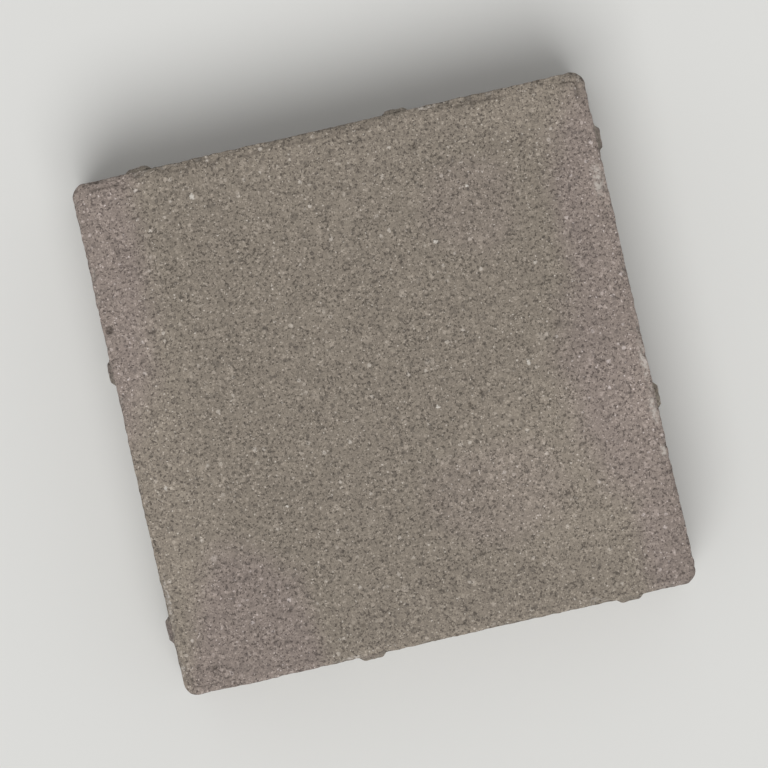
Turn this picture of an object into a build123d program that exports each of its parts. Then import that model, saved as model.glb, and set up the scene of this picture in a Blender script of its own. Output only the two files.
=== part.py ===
from build123d import *
import os

# Square concrete paving stone, pressed in one piece in a steel mould.
# Millimetres. The origin is the centre of the underside, +Z is up and the
# wearing face is on top.

# Body
side = 198.0
thickness = 60.0
corner_radius = 5.0

# Fine bevel that the press head leaves round the wearing face
bevel_width = 3.0
bevel_depth = 1.0

# Spacer ribs, as proud of the wall as the joint is wide
joint_gap = 2.0
rib_root_width = 11.0
rib_tip_width = 7.0
rib_edge_radius = 0.8
rib_below_face = 10.0
rib_run_out = 6.0
rib_from_corner = 26.0
rib_spacing = 100.0
ribs_per_side = 2
sides_of_square = 4


def body():
    """The block: a square with rounded corners, its upper edge bevelled all round."""
    outline = RectangleRounded(side, side, corner_radius)
    block = extrude(outline, thickness)
    wearing_face = block.faces().sort_by(Axis.Z)[-1]
    return chamfer(
        wearing_face.edges(),
        length=bevel_width,
        length2=bevel_depth,
        reference=wearing_face,
    )


def spacer_rib():
    """One rib at the middle of the back side, from the underside up.

    Its flanks taper towards the tip, and its top slopes out of the wall, so
    that the mould can be lifted off and the joint stays open at the face.
    """
    wall = side / 2
    tip = wall + joint_gap
    root_height = thickness - rib_below_face
    plan = Polygon(
        (-rib_root_width / 2, wall),
        (rib_root_width / 2, wall),
        (rib_tip_width / 2, tip),
        (-rib_tip_width / 2, tip),
        align=None,
    )
    plan = fillet(plan.vertices().group_by(Axis.Y)[-1], rib_edge_radius)
    upright = Plane.YZ * Polygon(
        (wall, 0),
        (tip, 0),
        (tip, root_height - rib_run_out),
        (wall, root_height),
        align=None,
    )
    return extrude(plan, root_height) & extrude(upright, rib_root_width / 2, both=True)


def ribs():
    """The ribs of all sides.

    Each side repeats the last one turned by a quarter, with no mirroring, so
    that in a laid grid every rib meets a plain wall and never another rib.
    """
    rib = spacer_rib()
    first = rib_from_corner - side / 2
    along = [first + k * rib_spacing for k in range(ribs_per_side)]
    turns = PolarLocations(0, sides_of_square)
    return [turn * Pos(x, 0, 0) * rib for turn in turns for x in along]


paving_stone = body() + ribs()

os.makedirs("parts", exist_ok=True)
export_step(paving_stone, "parts/paving_stone.step")

print("laying pitch", side + joint_gap, "mm")
print("size", paving_stone.bounding_box().size)
print("volume", round(paving_stone.volume), "cubic mm")
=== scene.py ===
# %% [markdown]
# # A concrete paving stone
#
# The real object is one block of concrete, 198 mm square and 60 mm thick. It is
# made from damp, sandy concrete that a machine shakes and presses into a steel
# mould, and pushes out again at once. That leaves everything that this lesson
# builds: a flat sandy face with a fine bevel, crumbly edges, and side walls
# with drag marks, open pores and upright spacer ribs.
#
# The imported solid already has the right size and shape, so it is the frame
# that everything else follows. Blender works in metres. Sizes that a maker
# would give in millimetres are multiplied by MM.

# %% Load the frame
import itertools
import math

import bpy
import numpy as np
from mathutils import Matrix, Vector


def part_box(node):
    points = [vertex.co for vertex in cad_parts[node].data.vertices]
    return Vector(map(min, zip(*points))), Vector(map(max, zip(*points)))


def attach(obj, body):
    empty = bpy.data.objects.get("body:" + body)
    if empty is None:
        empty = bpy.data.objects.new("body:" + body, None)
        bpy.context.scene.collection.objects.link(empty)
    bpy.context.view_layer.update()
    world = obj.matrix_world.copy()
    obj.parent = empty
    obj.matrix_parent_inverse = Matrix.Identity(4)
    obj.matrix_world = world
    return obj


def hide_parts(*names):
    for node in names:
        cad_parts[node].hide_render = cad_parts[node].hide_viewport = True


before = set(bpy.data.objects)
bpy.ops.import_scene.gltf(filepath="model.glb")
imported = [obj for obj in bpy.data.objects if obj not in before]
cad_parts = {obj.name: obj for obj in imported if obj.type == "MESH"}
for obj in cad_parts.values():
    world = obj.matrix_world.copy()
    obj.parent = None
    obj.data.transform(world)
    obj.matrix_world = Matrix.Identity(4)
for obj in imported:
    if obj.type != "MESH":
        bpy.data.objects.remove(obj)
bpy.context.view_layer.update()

MM = 0.001
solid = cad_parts["paving_stone"]
lowest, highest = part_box("paving_stone")
print("the solid is", [round(v / MM, 1) for v in highest - lowest], "mm")

# %% [markdown]
# ## A dense skin over the solid
#
# Pits, pores and crumbled edges are shapes, and a shape needs points to be made
# of. The solid has only a few hundred. They could be added by cutting its
# faces up by hand, but then the small faces at the corners and ribs would be
# cut too finely and the large ones too coarsely. A voxel remesh is simpler: it
# lays one even grid of small squares over the whole surface, ribs included.
# The solid itself stays as it is, and the new piece stands for it.

# %% Lay an even grid over the solid
GRID = 0.6 * MM
SAME_POINT = 0.001 * MM


def with_modifiers_applied(piece):
    """Gives the piece the mesh that its modifiers make, and takes them off."""
    graph = bpy.context.evaluated_depsgraph_get()
    mesh = bpy.data.meshes.new_from_object(piece.evaluated_get(graph))
    piece.modifiers.clear()
    piece.data = mesh
    return mesh


stone = bpy.data.objects.new("paving_stone_concrete", solid.data.copy())
bpy.context.scene.collection.objects.link(stone)
weld = stone.modifiers.new("weld", "WELD")
weld.merge_threshold = SAME_POINT
remesh = stone.modifiers.new("even_grid", "REMESH")
remesh.mode = "VOXEL"
remesh.voxel_size = GRID
skin = with_modifiers_applied(stone)
print("the grid has", len(skin.vertices), "points and", len(skin.polygons), "squares")

# %% [markdown]
# ## Where each point lies
#
# A pit on the face and a pit on a side wall look different, so each point of
# the skin has to know where it is: how far in from the side walls, which way
# the nearest wall faces, and how far it is from the two sharp edges that run
# round the stone. All of it is worked out at once in numpy, in millimetres,
# because a loop over this many points in Python would be slow.

# %% Read the points and their directions
def read_points(mesh):
    """The mesh's points and their outward directions, one row each, in mm."""
    places = np.empty(len(mesh.vertices) * 3)
    outward = np.empty(len(mesh.vertices) * 3)
    mesh.vertices.foreach_get("co", places)
    mesh.vertex_normals.foreach_get("vector", outward)
    return places.reshape(-1, 3) / MM, outward.reshape(-1, 3)


points, outward = read_points(skin)
height = points[:, 2]
print("points lie from", height.min().round(2), "to", height.max().round(2), "mm up")

# %% Measure from the side walls
RIB_PROUD = 2.0
HALF_SIDE = highest.x / MM - RIB_PROUD
CORNER_RADIUS = 5.0


def past_corner_centre(points):
    """How far each point is past the centre of the corner's arc, along x and y."""
    return np.abs(points[:, :2]) - (HALF_SIDE - CORNER_RADIUS)


def inset_from_walls(points):
    """How far in from the side walls each point is. On a rib it is below 0."""
    past = past_corner_centre(points)
    beyond = np.linalg.norm(np.maximum(past, 0), axis=1)
    return CORNER_RADIUS - beyond - np.minimum(past.max(axis=1), 0)


def facing_of_walls(points):
    """The level direction in which the wall nearest to each point faces."""
    past = past_corner_centre(points)
    furthest = past.max(axis=1, keepdims=True)
    pull = np.where(furthest > 0, np.maximum(past, 0), past == furthest)
    pull = pull / np.linalg.norm(pull, axis=1, keepdims=True) * np.sign(points[:, :2])
    return np.column_stack([pull, np.zeros(len(points))])


inset = inset_from_walls(points)
print("half a side is", round(HALF_SIDE, 2), "mm; ribs stand", round(-inset.min(), 2), "mm proud")

# %% Tell face, walls and bed apart, and find the edges
THICKNESS = highest.z / MM
BEVEL_WIDTH = 3.0
BEVEL_DEPTH = 1.0
LEVEL_ENOUGH = (0.5, 0.8)


def smooth_step(low, high, value):
    """0 below low, 1 above high, and a soft rise between."""
    t = np.clip((value - low) / (high - low), 0, 1)
    return t * t * (3 - 2 * t)


on_face = smooth_step(*LEVEL_ENOUGH, outward[:, 2])
on_bed = smooth_step(*LEVEL_ENOUGH, -outward[:, 2])
on_wall = 1 - on_face - on_bed
below_bevel = np.maximum(THICKNESS - BEVEL_DEPTH - height, 0)
from_face_edge = np.hypot(np.maximum(inset, 0), below_bevel)
from_bed_edge = np.hypot(np.maximum(inset, 0), height)
shares = [f"{part.mean():.0%}" for part in (on_face, on_wall, on_bed)]
print("shares of the points on face, walls and bed:", ", ".join(shares))

# %% [markdown]
# ## Unevenness
#
# Everything on this stone is uneven, so the lesson needs noise: a number for
# each point that changes smoothly from place to place. Blender has noise of
# its own, for one point at a time. This one does all points in one go. It
# gives every cell of a lattice a fixed chance number and blends between them,
# and it is the same on every run because nothing in it is left to chance.
# The lattice is turned to a new angle for each use, so that its rows never
# line up with the sides of the stone.

# %% Fixed chance numbers
X_FACTOR = np.uint32(0x8DA6B343)
Y_FACTOR = np.uint32(0xD8163841)
Z_FACTOR = np.uint32(0xCB1AB31F)
SEED_FACTOR = 7919
SEED_START = 17
STIRS = ((15, 0x2C1B3C6D), (12, 0x297A2D39))
LAST_SHIFT = np.uint32(15)
BITS = 32


def chance(cells, seed):
    """A fixed number from 0 to 1 for each cell, which looks like chance.

    Large odd factors and shifts stir the bits of the cell's three numbers.
    """
    x, y, z = cells.astype(np.int64).astype(np.uint32).T
    mixed = x * X_FACTOR ^ y * Y_FACTOR ^ z * Z_FACTOR
    mixed = mixed ^ np.uint32(seed * SEED_FACTOR + SEED_START)
    for shift, factor in STIRS:
        mixed = (mixed ^ mixed >> np.uint32(shift)) * np.uint32(factor)
    return (mixed ^ mixed >> LAST_SHIFT) / 2.0**BITS


def turned(places, seed):
    """The places turned to an angle that belongs to the seed."""
    axes, _ = np.linalg.qr(np.random.default_rng(seed).normal(size=(3, 3)))
    return places @ axes


three_cells = np.array([(1, 2, 3), (1, 2, 4), (2, 2, 4)])
print("three chance numbers:", chance(three_cells, seed=1).round(3))

# %% Smooth and rough noise
CORNERS = tuple(itertools.product((0, 1), repeat=3))
SPREAD = 1.6
FINER = 2
FAINTER = 1.8


def noise(places, size, seed):
    """Smooth bumps from about -1 to 1, each about `size` mm across."""
    lattice = turned(places, seed) / size
    cell = np.floor(lattice)
    part = smooth_step(0, 1, lattice - cell).T
    shares = (1 - part, part)
    total = np.zeros(len(places))
    for corner in CORNERS:
        share = math.prod(shares[step][axis] for axis, step in enumerate(corner))
        total += share * (2 * chance(cell + corner, seed) - 1)
    return SPREAD * total


def rough_noise(places, size, seed, layers=3):
    """Noise with finer and weaker noise on top of it, as on broken concrete."""
    return sum(noise(places, size / FINER**k, seed + k) / FAINTER**k for k in range(layers))


few = noise(points[::50], size=3, seed=1)
print("noise runs from", few.min().round(2), "to", few.max().round(2))

# %% [markdown]
# ## Sandy surfaces
#
# The face is pressed by a flat steel plate, so it is nearly flat, with a fine
# sandy relief. The walls slide out of the mould while the concrete is still
# damp, so their relief is drawn out into upright drag marks. The underside
# lies on a board and is left coarse. The same noise makes all three: each
# surface lays a few sizes of it over each other, and the walls get one more
# that is stretched, by squeezing the heights before it is read.

# %% Sand, drag marks and the coarse underside
FACE_SWELLS = ((38, 0.10), (3.4, 0.05), (1.5, 0.05))
WALL_SWELLS = ((16, 0.12), (2.8, 0.10), (1.5, 0.09))
BED_SWELLS = ((7, 0.18), (3.5, 0.10))
DRAG_MARKS = ((1.6, 0.09),)
SQUEEZE = 0.06


def swells(places, sizes_and_heights, seed):
    """Noise of several sizes on top of each other, each with its height in mm."""
    return sum(high * noise(places, size, seed + k)
               for k, (size, high) in enumerate(sizes_and_heights))


face_relief = swells(points, FACE_SWELLS, seed=11)
dragged = swells(points * (1, 1, SQUEEZE), DRAG_MARKS, seed=26)
wall_relief = swells(points, WALL_SWELLS, seed=21) + dragged
bed_relief = swells(points, BED_SWELLS, seed=31)
relief = on_face * face_relief + on_wall * wall_relief + on_bed * bed_relief
print("relief from", relief.min().round(2), "to", relief.max().round(2), "mm")

# %% [markdown]
# ## The press line
#
# The plate that presses the face is a little smaller than the mould. Its rim
# leaves the bevel, and where the bevel meets the face it leaves a thin broken
# line, which the photo shows 3 mm inside the edge. It could be cut as a groove,
# but a cut is even, and this line fades in and out. So it is a bell-shaped dip
# in the points at that distance, and noise says how deep it is at each place.

# %% Sink the press line
LINE_WIDTH = 0.55
LINE_DEPTH = 0.26
LINE_WANDER = 0.35
LINE_BREAKS = (-0.4, 0.7)
DEEPER = 1.5
DEEP_PLACES = ((-92, -95, 9), (94, 94, 8), (58, 96, 12), (-86, 96, 8))

from_line = inset - BEVEL_WIDTH - LINE_WANDER * noise(points, size=14, seed=41)
strength = smooth_step(*LINE_BREAKS, noise(points, size=9, seed=42))
for x, y, reach in DEEP_PLACES:
    gap = np.hypot(points[:, 0] - x, points[:, 1] - y)
    strength = np.maximum(strength, DEEPER * smooth_step(reach, reach / 2, gap))
press_line = strength * np.exp(-((from_line / LINE_WIDTH) ** 2)) * on_face
relief -= LINE_DEPTH * press_line
print("the press line marks", int((press_line > 0.5).sum()), "points")

# %% [markdown]
# ## Pits in the face
#
# The press plate closes the face, and only a few air bubbles are left as small
# round pits. To scatter them, space is divided into cells again. Some cells
# hold one bubble, at a chance place in the cell, and a point that lies inside
# a bubble sinks. The photo shows five pits clearly, and those are placed one by
# one, with a ragged outline.

# %% Scatter bubbles
SMALLEST_BUBBLE = 0.45


def bubbles(places, spacing, radius, share, seed):
    """How deep each point is inside round bubbles, which lie at chance places.

    Each cell of a lattice holds one bubble or none. `share` says how many do.
    A bubble is smaller than half a cell, so only the nearest cells matter.
    """
    lattice = turned(places, seed) / spacing
    cell = np.floor(lattice - 0.5)
    deepest = np.zeros(len(places))
    for step in CORNERS:
        near = cell + step
        centre = near + np.column_stack([chance(near, seed + k) for k in (1, 2, 3)])
        part = SMALLEST_BUBBLE + (1 - SMALLEST_BUBBLE) * chance(near, seed + 4)
        size = radius / spacing * part
        gap = ((lattice - centre) ** 2).sum(axis=1)
        held = chance(near, seed + 5) < share
        deepest = np.maximum(deepest, np.sqrt(np.clip(size**2 - gap, 0, None)) * held)
    return deepest * spacing


print("the smallest bubble is", SMALLEST_BUBBLE, "times as wide as the largest")

# %% Sink small and large pits into the face
SMALL_PIT_DEPTH = 0.55
LARGE_PIT_DEPTH = 0.5
small_pits = bubbles(points, spacing=5.5, radius=0.9, share=0.30, seed=51)
large_pits = bubbles(points, spacing=17, radius=1.5, share=0.35, seed=52)
face_hollow = np.maximum(SMALL_PIT_DEPTH * small_pits, LARGE_PIT_DEPTH * large_pits)
print((face_hollow * on_face > 0.1).sum(), "points of the face lie in pits")

# %% Place the pits that the photo shows
SEEN_PITS = ((-96.7, 43, 1.8, 1.7), (30, -15, 1.2, 0.9), (31, 85, 1.2, 0.9),
             (-28, -87, 1.2, 0.9), (-86, -90, 1.2, 0.9))
RAGGED = 0.3
ragged = RAGGED * noise(points, size=1.2, seed=56)
for x, y, radius, depth in SEEN_PITS:
    gap = np.hypot(points[:, 0] - x, points[:, 1] - y) + ragged
    bowl = np.sqrt(np.clip(1 - (gap / radius) ** 2, 0, None))
    face_hollow = np.maximum(face_hollow, depth * bowl)
print(len(SEEN_PITS), "pits are placed by hand")

# %% [markdown]
# ## Voids in the walls and the underside
#
# No plate presses the walls and the underside, so they stay open. Bubbles
# burst against the mould, and here and there the paste does not fill the room
# between the grains. The bubbles are scattered as on the face, but their
# places are bent by noise first, so that none comes out round. The voids lie
# where a rough noise rises above a limit, and a broad noise lets them gather
# in loose places. They stop short of the upper edge, where the plate presses.

# %% Open the voids
BEND = 0.55
GATHERING = 0.45
VOID_LIMITS = (0.95, 1.65)
PRESSED_RIM = (1.0, 4.5)
bent = BEND * np.column_stack([noise(points, size=1.9, seed=seed) for seed in (57, 58, 59)])
burst = bubbles(points + bent, spacing=4.6, radius=1.35, share=0.36, seed=53)
loose_places = GATHERING * noise(points, size=22, seed=55)
looseness = rough_noise(points, size=3.0, seed=54, layers=2) + loose_places
voids = smooth_step(*VOID_LIMITS, looseness)
print(f"voids take up {(voids > 0.5).mean():.1%} of an open surface")

# %% Sink the voids into walls and bed
WALL_BUBBLE_DEPTH = 0.7
WALL_VOID_DEPTH = 1.3
BED_BUBBLE_DEPTH = 0.8
BED_VOID_DEPTH = 1.6
below_rim = smooth_step(*PRESSED_RIM, from_face_edge)
wall_hollow = (WALL_BUBBLE_DEPTH * burst + WALL_VOID_DEPTH * voids) * below_rim
bed_hollow = BED_BUBBLE_DEPTH * burst + BED_VOID_DEPTH * voids
hollow = on_face * face_hollow + on_wall * wall_hollow + on_bed * bed_hollow
print("the deepest hollow is", hollow.max().round(2), "mm")

# %% [markdown]
# ## Crumbled edges
#
# The edges of such a stone are never sharp: grains fall out of them when the
# mould lifts, and again on the pallet. A bevel modifier would cut them off
# evenly. A crumbled edge is a cut across it at 45 degrees whose width wanders
# and in some places grows into a chip. A point at the edge moves in by the
# width of the cut over the square root of 2, a point as far away as the cut is
# wide stays, and between them it goes evenly.

# %% Crumble the edges
UNEVEN = 1.3
LEAST_WORN = 0.1
CHIP_LIMITS = (0.60, 1.4)


def crumbling(edge_gap, least, most, seed):
    """How far each point moves in, for an edge that is cut off unevenly, in mm."""
    worn = least * (1 + UNEVEN * rough_noise(points, size=4.4, seed=seed))
    broken = noise(points, size=9, seed=seed + 5) + noise(points, size=3.2, seed=seed + 6)
    width = np.maximum(worn, LEAST_WORN) + most * smooth_step(*CHIP_LIMITS, broken)
    return np.maximum(width - edge_gap, 0) / math.sqrt(2)


face_edge = crumbling(from_face_edge, least=0.5, most=1.6, seed=61)
bed_edge = crumbling(from_bed_edge, least=0.7, most=2.2, seed=71)
crumbled = face_edge + bed_edge
print("the edges lose up to", face_edge.max().round(2), "and", bed_edge.max().round(2), "mm")

# %% [markdown]
# ## The finished skin
#
# Relief and hollows move a point along its own direction. A crumbled edge
# moves it in and down at the top, and in and up at the bottom. The material
# has to know later where the hollows and edges are, to darken or lighten them,
# so each point also carries a few numbers under names. Last, a decimate
# modifier joins points again where the skin is flat. That keeps the detail
# where it is and the piece light enough to use.

# %% Move the points
facing = facing_of_walls(points)
up = np.array((0, 0, 1.0))
moved = points + outward * (relief - hollow)[:, None]
moved -= (facing + up) / math.sqrt(2) * face_edge[:, None]
moved -= (facing - up) / math.sqrt(2) * bed_edge[:, None]
moved[:, 2] = np.maximum(moved[:, 2], 0)
skin.vertices.foreach_set("co", (moved * MM).ravel())
skin.update()
print("points move by up to", np.linalg.norm(moved - points, axis=1).max().round(2), "mm")

# %% Give the skin its marks
marks = {
    "hollow": hollow,
    "crumbled": crumbled,
    "press_line": press_line,
    "proud": np.clip(-inset / RIB_PROUD, 0, 1),
    "wall": on_wall,
    "bed": on_bed,
}
for name, values in marks.items():
    layer = skin.attributes.new(name, "FLOAT", "POINT")
    layer.data.foreach_set("value", values.astype(np.float32))
print("the skin carries", ", ".join(marks))

# %% Thin the skin where it is flat
TRIANGLES = 190_000
thin = stone.modifiers.new("thin_out", "DECIMATE")
thin.ratio = min(1.0, TRIANGLES / (2 * len(skin.polygons)))
skin = with_modifiers_applied(stone)
skin.shade_smooth()
skin.calc_loop_triangles()
print("the finished skin has", len(skin.loop_triangles), "triangles")

# %% [markdown]
# ## A flat layout for baking
#
# Baking the colours into pictures needs a flat layout of the whole skin. The
# usual way is to let Blender find flat regions by angle. On a surface as rough
# as this one it would find thousands of scraps. This stone is a block, so the
# layout is made like a cut-out paper box: six panels, one for each side, and
# each triangle goes to the side that it is nearest to. The face is seen most and
# gets the most room.

# %% Find the side of each triangle
def nearest_side(middle):
    """The number of the side that each point belongs to: 0 face, 1 bed, 2 to 5 walls."""
    gaps = np.stack([THICKNESS - middle[:, 2], middle[:, 2], inset_from_walls(middle)])
    nearest = gaps.argmin(axis=0)
    along_x = np.abs(middle[:, 0]) < np.abs(middle[:, 1])
    wall = 2 + 2 * along_x + (np.where(along_x, middle[:, 1], middle[:, 0]) > 0)
    return np.where(nearest < 2, nearest, wall)


places, _ = read_points(skin)
corners = np.empty(len(skin.loops), dtype=np.int32)
starts = np.empty(len(skin.polygons), dtype=np.int32)
counts = np.empty(len(skin.polygons), dtype=np.int32)
skin.loops.foreach_get("vertex_index", corners)
skin.polygons.foreach_get("loop_start", starts)
skin.polygons.foreach_get("loop_total", counts)
middles = np.add.reduceat(places[corners], starts) / counts[:, None]
sides = nearest_side(middles)
print("triangles on face, bed and walls:", np.bincount(sides))

# %% Lay the six panels out
SPARE = 0.5
WIDEST = 2 * (HALF_SIDE + RIB_PROUD + SPARE)
FACE_SHARE = 0.66
BED_SHARE = 1 - FACE_SHARE
WALL_SHARE = 0.5
WALL_ROW = 0.5 * BED_SHARE
GUTTER = 0.004


def lay_out(places, side):
    """The place of each point in the flat layout, as shares of its width."""
    x, y, z = (places / WIDEST).T
    panels = (
        ((x + 0.5) * FACE_SHARE, (y + 0.5) * FACE_SHARE + BED_SHARE),
        ((0.5 - x) * BED_SHARE + FACE_SHARE, (y + 0.5) * BED_SHARE + BED_SHARE),
        ((0.5 - y) * WALL_SHARE, z * WALL_SHARE),
        ((y + 0.5) * WALL_SHARE + 0.5, z * WALL_SHARE),
        ((x + 0.5) * WALL_SHARE, z * WALL_SHARE + WALL_ROW),
        ((0.5 - x) * WALL_SHARE + 0.5, z * WALL_SHARE + WALL_ROW),
    )
    across = np.choose(side, [panel[0] for panel in panels])
    upward = np.choose(side, [panel[1] for panel in panels])
    return np.column_stack([across, upward]) * (1 - 2 * GUTTER) + GUTTER


layout = skin.uv_layers.new(name="OFBake")
flat = lay_out(places[corners], np.repeat(sides, counts))
layout.data.foreach_set("uv", flat.ravel())
print("the layout runs from", flat.min().round(3), "to", flat.max().round(3))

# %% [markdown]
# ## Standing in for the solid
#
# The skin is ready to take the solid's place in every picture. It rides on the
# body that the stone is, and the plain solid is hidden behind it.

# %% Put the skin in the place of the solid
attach(stone, "root")
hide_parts("paving_stone")
print(stone.name, "stands for", solid.name)

# %% [markdown]
# ## The concrete itself
#
# Concrete is not one colour. It is sand and fine stone of many colours in a
# grey cement paste. A picture of real concrete could be laid over the stone,
# but it would stretch at the edges and could not follow the pores. Here the
# colour is worked out from each point's place in the block, so the grains run
# through it in all directions, and a grain that is cut by an edge shows on
# both sides of it, as in the real thing.
#
# Adding nodes takes several lines each time. A few small helpers do it in one.

# %% Helpers for adding nodes
concrete = bpy.data.materials.new("pressed_concrete")
concrete.use_nodes = True
tree = concrete.node_tree
tree.nodes.clear()


def add(kind, inputs, **settings):
    """Adds a node. Its inputs are filled with numbers or joined to other nodes."""
    made = tree.nodes.new("ShaderNode" + kind)
    for name, value in settings.items():
        setattr(made, name, value)
    for socket, value in inputs.items():
        if isinstance(value, bpy.types.NodeSocket):
            tree.links.new(value, made.inputs[socket])
        else:
            made.inputs[socket].default_value = value
    return made


def calc(operation, *values):
    """One step of arithmetic with numbers."""
    return add("Math", dict(enumerate(values)), operation=operation).outputs[0]


def move(operation, *values):
    """One step of arithmetic with places."""
    return add("VectorMath", dict(enumerate(values)), operation=operation).outputs[0]


print("nodes are added to", concrete.name)

# %% Helpers for colours and marks
def fade(value, start, end, low=0.0, high=1.0):
    """Goes softly from low to high while the value goes from start to end."""
    limits = {"Value": value, "From Min": start, "From Max": end, "To Min": low, "To Max": high}
    return add("MapRange", limits, interpolation_type="SMOOTHSTEP").outputs["Result"]


def blend(share, first, second, how="MIX"):
    """The first colour where the share is 0, and the second where it is 1."""
    made = add("Mix", {0: share, 6: first, 7: second}, data_type="RGBA", blend_type=how)
    return made.outputs[2]


def toned(colour, brightness):
    """The colour made darker or lighter by a number."""
    level = add("CombineColor", {0: brightness, 1: brightness, 2: brightness}).outputs[0]
    return blend(1.0, colour, level, "MULTIPLY")


def cloud(places, size, detail=2.0, roughness=0.5):
    """Smooth noise from 0 to 1 with patches of that size in mm."""
    return add("TexNoise", {"Vector": places, "Scale": 1 / size, "Detail": detail,
                            "Roughness": roughness})


def mark(name):
    """The number that the skin carries under this name."""
    return add("Attribute", {}, attribute_name=name).outputs["Fac"]


NOISE_MIDDLE = (0.25, 0.75)
in_metres = add("TexCoord", {}).outputs["Object"]
place = add("VectorMath", {0: in_metres, "Scale": 1 / MM}, operation="SCALE").outputs[0]
rough_side = calc("ADD", mark("wall"), mark("bed"))
print("places in the concrete are in millimetres")

# %% [markdown]
# ## Sand in cement
#
# Voronoi cells are a good likeness of packed grains: each cell has a middle,
# a random colour of its own, and a distance that grows towards its border.
# Where the distance is small the grain shows, and where it is large the paste
# does. The places are shaken a little first, because plain cells have straight
# borders and sand does not. Three sizes are laid over each other: fine sand
# nearly everywhere, coarse sand over much of it, and a little grit. The walls
# and the underside show more of the coarse ones, because no plate has pressed
# paste over them.

# %% A grain's shape and colour
SAND_COLOURS = (
    (0.00, (0.090, 0.076, 0.064, 1)),
    (0.18, (0.153, 0.131, 0.108, 1)),
    (0.40, (0.240, 0.206, 0.166, 1)),
    (0.72, (0.316, 0.272, 0.222, 1)),
    (0.95, (0.415, 0.360, 0.302, 1)),
    (1.00, (0.580, 0.530, 0.470, 1)),
)
GRAIN_RIM = (0.62, 0.30)
SHAKE = 0.4
fine_wander = cloud(place, size=1.0, detail=1.0).outputs["Color"]
shaken = move("ADD", place, move("MULTIPLY_ADD", fine_wander, (2 * SHAKE,) * 3, (-SHAKE,) * 3))


def sand_colour(number):
    """Picks a mineral's colour by a number from 0 to 1."""
    ramp = add("ValToRGB", {0: number})
    stops = ramp.color_ramp.elements
    while len(stops) < len(SAND_COLOURS):
        stops.new(0.5)
    for stop, (position, colour) in zip(stops, SAND_COLOURS):
        stop.position = position
        stop.color = colour
    return ramp.outputs[0]


def grains(size, shift):
    """Grains about `size` mm across: how much each shows, and two chance numbers."""
    shifted = move("ADD", shaken, (shift, shift, shift))
    cells = add("TexVoronoi", {"Vector": shifted, "Scale": 1 / size})
    numbers = add("SeparateColor", {0: cells.outputs["Color"]})
    shows = fade(cells.outputs["Distance"], *GRAIN_RIM)
    return shows, numbers.outputs[0], numbers.outputs[1]


print("sand has", len(SAND_COLOURS), "colours")

# %% Mix three sizes of sand into the paste
PASTE = (0.234, 0.200, 0.164, 1)
FINE_STRENGTH = 0.82
COARSE_STRENGTH = 0.62
GRIT_STRENGTH = 0.45
fine, fine_tone, _ = grains(size=0.75, shift=0.0)
coarse, coarse_tone, coarse_pick = grains(size=1.7, shift=31.0)
grit, grit_tone, grit_pick = grains(size=3.4, shift=67.0)
coarse_share = fade(rough_side, 0.0, 1.0, low=0.45, high=0.60)
grit_share = fade(rough_side, 0.0, 1.0, low=0.05, high=0.21)
coarse_shows = calc("MULTIPLY", coarse, calc("LESS_THAN", coarse_pick, coarse_share))
grit_shows = calc("MULTIPLY", grit, calc("LESS_THAN", grit_pick, grit_share))

colour = blend(calc("MULTIPLY", fine, FINE_STRENGTH), PASTE, sand_colour(fine_tone))
colour = blend(calc("MULTIPLY", coarse_shows, COARSE_STRENGTH), colour, sand_colour(coarse_tone))
colour = blend(calc("MULTIPLY", grit_shows, GRIT_STRENGTH), colour, sand_colour(grit_tone))
print("three sizes of sand are in the paste")

# %% Leave gaps between the grains
GAP_SHADE = (0.060, 0.050, 0.041, 1)
GAP_STRENGTH = 0.69
GAP_LIMIT = 0.365
GAP_DRIFT = 0.08
GAP_RIM = (0.030, -0.050)
powder = cloud(place, size=0.5).outputs[0]
clots = cloud(place, size=2.6).outputs[0]
colour = toned(colour, fade(powder, *NOISE_MIDDLE, low=0.85, high=1.15))
colour = toned(colour, fade(clots, *NOISE_MIDDLE, low=0.92, high=1.10))

packing = cloud(place, size=1.15, detail=2.0, roughness=0.66).outputs[0]
drift = cloud(place, size=9.0, detail=0.0).outputs[0]
gap_limit = calc("MULTIPLY_ADD", drift, GAP_DRIFT, GAP_LIMIT)
gaps = fade(calc("SUBTRACT", packing, gap_limit), *GAP_RIM)
colour = blend(calc("MULTIPLY", gaps, GAP_STRENGTH), colour, GAP_SHADE)
print("the paste closes over some of the gaps and leaves others")

# %% [markdown]
# ## Lime haze and pale borders
#
# As concrete dries, lime comes to its surface. It leaves the middle of the
# stone a greenish grey and gives the borders a paler, slightly violet veil.
# Noise alone could spread such patches, but not where the photo shows them, so
# they are listed one by one. Each one is an ellipse that fades out, and noise
# shifts the places before the ellipse is read, which makes its border wander.

# %% Patches with wandering borders
def patches(spots, wander, reach, inner):
    """1 inside any of the ellipses and 0 outside, with a border that wanders.

    Each spot is the place of its middle and its two half widths, in mm. The
    border wanders by up to `reach` mm, and fades in down to the share `inner`.
    """
    shift = move("MULTIPLY_ADD", wander, (2 * reach, 2 * reach, 0), (-reach, -reach, 0))
    drawn = move("MULTIPLY", move("ADD", place, shift), (1, 1, 0))
    total = 0.0
    for x, y, half_x, half_y in spots:
        ratio = move("DIVIDE", move("SUBTRACT", drawn, (x, y, 0)), (half_x, half_y, 1))
        length = add("VectorMath", {0: ratio}, operation="LENGTH").outputs["Value"]
        total = calc("MAXIMUM", total, fade(length, 1.0, inner))
    return total


GONE_BELOW = 9.0
WHOLE_ABOVE = 2.0
broad_wander = cloud(place, size=25.0).outputs["Color"]
apart = add("SeparateXYZ", {0: place})
towards_back = apart.outputs[1]
above_bed = apart.outputs[2]
near_face = fade(above_bed, THICKNESS - GONE_BELOW, THICKNESS - WHOLE_ABOVE)
print("patches fade out over the upper", GONE_BELOW, "mm of the walls")

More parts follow.
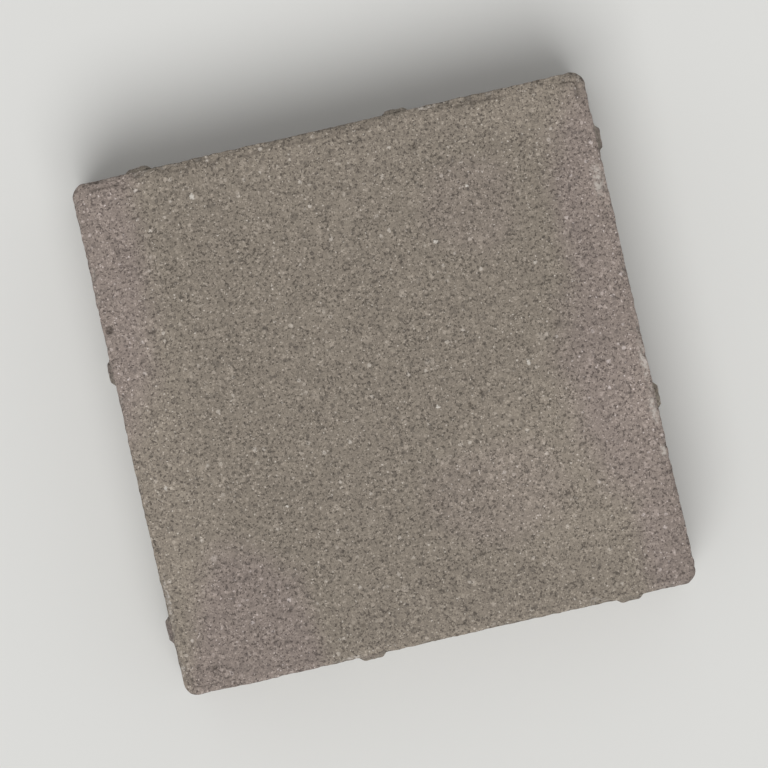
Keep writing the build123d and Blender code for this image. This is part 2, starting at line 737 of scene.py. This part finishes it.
# %% The violet veil
VEIL_TINT = (1.022, 0.986, 1.060, 1)
FAINT = 0.4
VEIL_PATCHES = ((-106, 84, 37, 104), (112, -18, 56, 70), (112, 38, 41, 76), (112, -84, 36, 48),
                (-70, -98, 31, 60))
FAINT_PATCHES = ((32, -50, 36, 25), (46, 59, 22, 23))
full_veil = patches(VEIL_PATCHES, broad_wander, reach=8.0, inner=0.65)
half_veil = patches(FAINT_PATCHES, broad_wander, reach=8.0, inner=0.5)
face_veil = calc("MAXIMUM", full_veil, calc("MULTIPLY", half_veil, FAINT))
wall_veil = fade(cloud(place, size=34.0).outputs[0], 0.45, 0.62)
veil = calc("MULTIPLY_ADD", near_face, calc("SUBTRACT", face_veil, wall_veil), wall_veil)
colour = blend(veil, colour, blend(1.0, colour, VEIL_TINT, "MULTIPLY"))
print(len(VEIL_PATCHES), "veils and", len(FAINT_PATCHES), "faint ones")

# %% The pale borders
PALE_PATCHES = ((-108, 0, 58, 190), (-98, 96, 52, 44), (72, -46, 84, 66), (114, 30, 46, 140),
                (84, 102, 50, 44), (0, 120, 180, 44), (0, -118, 170, 34))
PALEST_PATCHES = ((101, -22, 30, 30), (104, 54, 16, 24))
pale = patches(PALE_PATCHES, broad_wander, reach=7.0, inner=0.0)
palest = patches(PALEST_PATCHES, broad_wander, reach=7.0, inner=0.0)
mottle = cloud(place, size=14.0, detail=3.0).outputs[0]
colour = toned(colour, fade(pale, 0.0, 0.8, low=0.985, high=1.10))
colour = toned(colour, fade(palest, 0.0, 1.0, low=1.0, high=1.14))
colour = toned(colour, fade(mottle, *NOISE_MIDDLE, low=0.992, high=1.020))
print(len(PALE_PATCHES), "pale patches and", len(PALEST_PATCHES), "paler ones")

# %% [markdown]
# ## Specks, rubbed edges and hollows
#
# A few grains of white quartz stand out on the face, at places that the photo
# shows. Edges that have been rubbed or broken show pale, fresh concrete, and so
# do the tops of the ribs. Hollows and the press line are painted darker, for
# dust and for painted shade in them. The line is painted darkest along the
# back, as the photo shows, a painted shade of the bevel there, which faces away
# from the lamp. The skin's marks say where they are, so the colour lies exactly
# on the shape.

# %% White quartz
QUARTZ = (0.66, 0.62, 0.56, 1)
WHITE_SPECKS = ((-55, 85, 1.0, 1.4), (55, -4, 0.9, 1.5), (31, 48, 1.1, 0.8), (-89, -20, 1.0, 1.1),
                (18, -13, 0.9, 0.7), (-73, 76, 0.7, 0.8), (47, 66, 0.7, 0.7), (-46, -37, 0.8, 0.6))
specks = patches(WHITE_SPECKS, fine_wander, reach=0.9, inner=0.5)
whiteness = fade(powder, 0.3, 0.6, low=0.45, high=0.85)
colour = blend(calc("MULTIPLY", specks, whiteness), colour, QUARTZ)
print(len(WHITE_SPECKS), "white specks")

# %% Rubbed edges and ribs
RUBBED = (0.52, 0.475, 0.43, 1)
RUBBED_EDGES = ((96.0, 57, 3.0, 9), (97.4, -13, 1.8, 10), (97.2, -32, 2.0, 8),
                (97.4, -48, 1.6, 4), (-97.6, -62, 1.1, 12), (-98.2, -88, 1.3, 3),
                (-34, -98.2, 5, 0.9), (38, 98.4, 6, 0.8))
crumbs = fade(cloud(place, size=1.6).outputs[0], 0.40, 0.58, low=0.15, high=0.85)
stretches = patches(RUBBED_EDGES, fine_wander, reach=0.9, inner=0.2)
rubbed_ribs = fade(mark("proud"), 0.75, 1.0, high=0.35)
broken_edges = fade(mark("crumbled"), 0.20, 0.9, high=0.42)
rubbed = calc("MAXIMUM", calc("MULTIPLY", stretches, near_face),
              calc("MAXIMUM", rubbed_ribs, broken_edges))
colour = blend(calc("MULTIPLY", rubbed, crumbs), colour, RUBBED)
print(len(RUBBED_EDGES), "rubbed stretches of edge")

# %% Shade in the hollows
SHADE = (0.052, 0.042, 0.034, 1)
FACE_DARKER = 0.60
WALL_DARKER = 0.42
SHALLOW = 0.15
DEEP = 1.3
# Painted shade and dust: the hollows are darker, more on the face than on the walls.
darker = fade(rough_side, 0.0, 1.0, low=FACE_DARKER, high=WALL_DARKER)
hollow_shade = calc("MULTIPLY", fade(mark("hollow"), SHALLOW, DEEP), darker)
print(f"the hollows are darker by up to {FACE_DARKER:.0%} on the face")

# %% Shade in the press line
LINE_DARKER = 0.12
BACK_LINE_SHADE_DARKER = 0.38
DEEP_LINE_DARKER = 0.55
DEEP_FROM = 0.8
BACK_SHADE_FROM = HALF_SIDE - 12
BACK_SHADE_FULLY = HALF_SIDE - 6
line = mark("press_line")
# Painted shade and some dust darken the press line; along the back the painted shade is stronger,
# for the bevel there faces away from the lamp.
line_darker = fade(towards_back, BACK_SHADE_FROM, BACK_SHADE_FULLY, LINE_DARKER, BACK_LINE_SHADE_DARKER)
deep_line = fade(line, DEEP_FROM, DEEPER, high=DEEP_LINE_DARKER)
line_shade = calc("MAXIMUM", calc("MULTIPLY", line, line_darker), deep_line)
colour = blend(calc("MAXIMUM", hollow_shade, line_shade), colour, SHADE)
print(f"the press line is darker by {LINE_DARKER:.0%}, and by {BACK_LINE_SHADE_DARKER:.0%} at the back")

# %% [markdown]
# ## Drag marks on the walls
#
# The walls slid along the steel, which drew the paste into upright streaks.
# Noise that is read with squeezed heights gives long upright bands, as it did
# for the relief, and the mesh says where the walls are.

# %% Streak the walls
drawn_out = move("MULTIPLY", place, (1, 1, SQUEEZE))
streaks = cloud(drawn_out, size=2.6, detail=3.0).outputs[0]
streaked = toned(colour, fade(streaks, 0.3, 0.7, low=0.84, high=1.02))
colour = blend(mark("wall"), colour, streaked)
print("the streaks are", round(1 / SQUEEZE), "times as long as they are wide")

# %% [markdown]
# ## Gloss and the finest relief
#
# Dry concrete hardly shines. Only its coarse grains do, a little. Grains too
# fine to be modelled stand out by a tenth of a millimetre, and less on the
# pressed face than on the walls. That is the work of a bump node: it tilts the
# light on the surface and moves no point.

# %% The finest relief
FACE_STANDS_OUT = 0.055
WALL_STANDS_OUT = 0.12
COARSE_RISE = 1.4
GAP_RISE = -1.6
fine_rise = calc("MULTIPLY", fine, fade(fine_tone, 0.0, 1.0, low=0.3, high=1.0))
grain_rise = calc("MULTIPLY_ADD", coarse_shows, COARSE_RISE, fine_rise)
gap_rise = calc("MULTIPLY_ADD", gaps, GAP_RISE, powder)
stand_out = fade(rough_side, 0.0, 1.0, low=FACE_STANDS_OUT, high=WALL_STANDS_OUT)
relief_mm = calc("MULTIPLY", calc("ADD", grain_rise, gap_rise), stand_out)
bump = add("Bump", {"Strength": 1.0, "Distance": MM, "Height": relief_mm})
print("grains stand out by about", FACE_STANDS_OUT, "mm on the face")

# %% Gloss and the shader
GLOSSY_GRAINS = -0.10
SHINE = 0.35
dullness = fade(powder, 0.2, 0.8, low=0.84, high=0.94)
dullness = calc("MULTIPLY_ADD", coarse_shows, GLOSSY_GRAINS, dullness)
shader = add("BsdfPrincipled", {"Base Color": colour, "Roughness": dullness,
                                "Normal": bump.outputs[0], "Specular IOR Level": SHINE})
add("OutputMaterial", {"Surface": shader.outputs[0]})
stone.data.materials.clear()
stone.data.materials.append(concrete)
print("the concrete has", len(tree.nodes), "nodes")

# %% [markdown]
# ## The studio
#
# Stone is judged under soft light. An even pale sky lights it from all around,
# and one broad lamp over the near side gives the pits and edges a light and a
# dark flank. Together they are as bright as white paper needs, so a colour
# shows as it was mixed. The floor is pale and keeps the shadow.

# %% A pale floor
FLOOR = 4.0
FLOOR_TINT = (0.72, 0.72, 0.70, 1)
FLOOR_DULLNESS = 0.9
floor_mesh = bpy.data.meshes.new("studio_floor")
floor_mesh.from_pydata([(-FLOOR, -FLOOR, 0), (FLOOR, -FLOOR, 0), (FLOOR, FLOOR, 0),
                        (-FLOOR, FLOOR, 0)], [], [(0, 1, 2, 3)])
floor = bpy.data.objects.new("studio_floor", floor_mesh)
bpy.context.scene.collection.objects.link(floor)
matt = bpy.data.materials.new("pale_floor")
matt.use_nodes = True
floor_shader = matt.node_tree.nodes["Principled BSDF"]
floor_shader.inputs["Base Color"].default_value = FLOOR_TINT
floor_shader.inputs["Roughness"].default_value = FLOOR_DULLNESS
floor.data.materials.append(matt)
print("the floor is", 2 * FLOOR, "m wide")

# %% Sky and lamp
SKY = 0.46
LAMP = 1.90
LAMP_TILT = math.radians(27)
LAMP_WIDTH = math.radians(40)
ROLL = math.radians(-12.86)
world = bpy.data.worlds.new("studio")
bpy.context.scene.world = world
world.use_nodes = True
world.node_tree.nodes["Background"].inputs["Color"].default_value = (1, 1, 1, 1)
world.node_tree.nodes["Background"].inputs["Strength"].default_value = SKY

lamp_data = bpy.data.lights.new("broad_window", "SUN")
lamp_data.energy = LAMP
lamp_data.angle = LAMP_WIDTH
lamp = bpy.data.objects.new("broad_window", lamp_data)
lamp.rotation_euler = (LAMP_TILT, 0, ROLL)
bpy.context.scene.collection.objects.link(lamp)
on_level = math.pi * SKY + LAMP * math.cos(LAMP_TILT)
print("a level surface gets", round(on_level / math.pi, 2), "of the light that shows white as white")

# %% [markdown]
# ## The camera
#
# The photo looks straight down, and its far and near sides are equally long,
# so it was taken from far away. A long lens does the same. The camera is
# rolled by the angle at which the stone lies in the photo.

# %% Look straight down from far away
LENS = 350.0
SENSOR = 36.0
FRAME_WIDTH = 0.290
FARTHEST_SEEN = 20
camera_data = bpy.data.cameras.new("straight_down")
camera_data.lens = LENS
camera_data.sensor_width = SENSOR
camera_data.clip_end = FARTHEST_SEEN
camera = bpy.data.objects.new("straight_down", camera_data)
camera.location = (0, 0, highest.z + FRAME_WIDTH * LENS / SENSOR)
camera.rotation_euler = (0, 0, ROLL)
bpy.context.scene.collection.objects.link(camera)
bpy.context.scene.camera = camera
bpy.context.scene.view_settings.view_transform = "Standard"
print("the camera is", round(camera.location.z, 2), "m up")
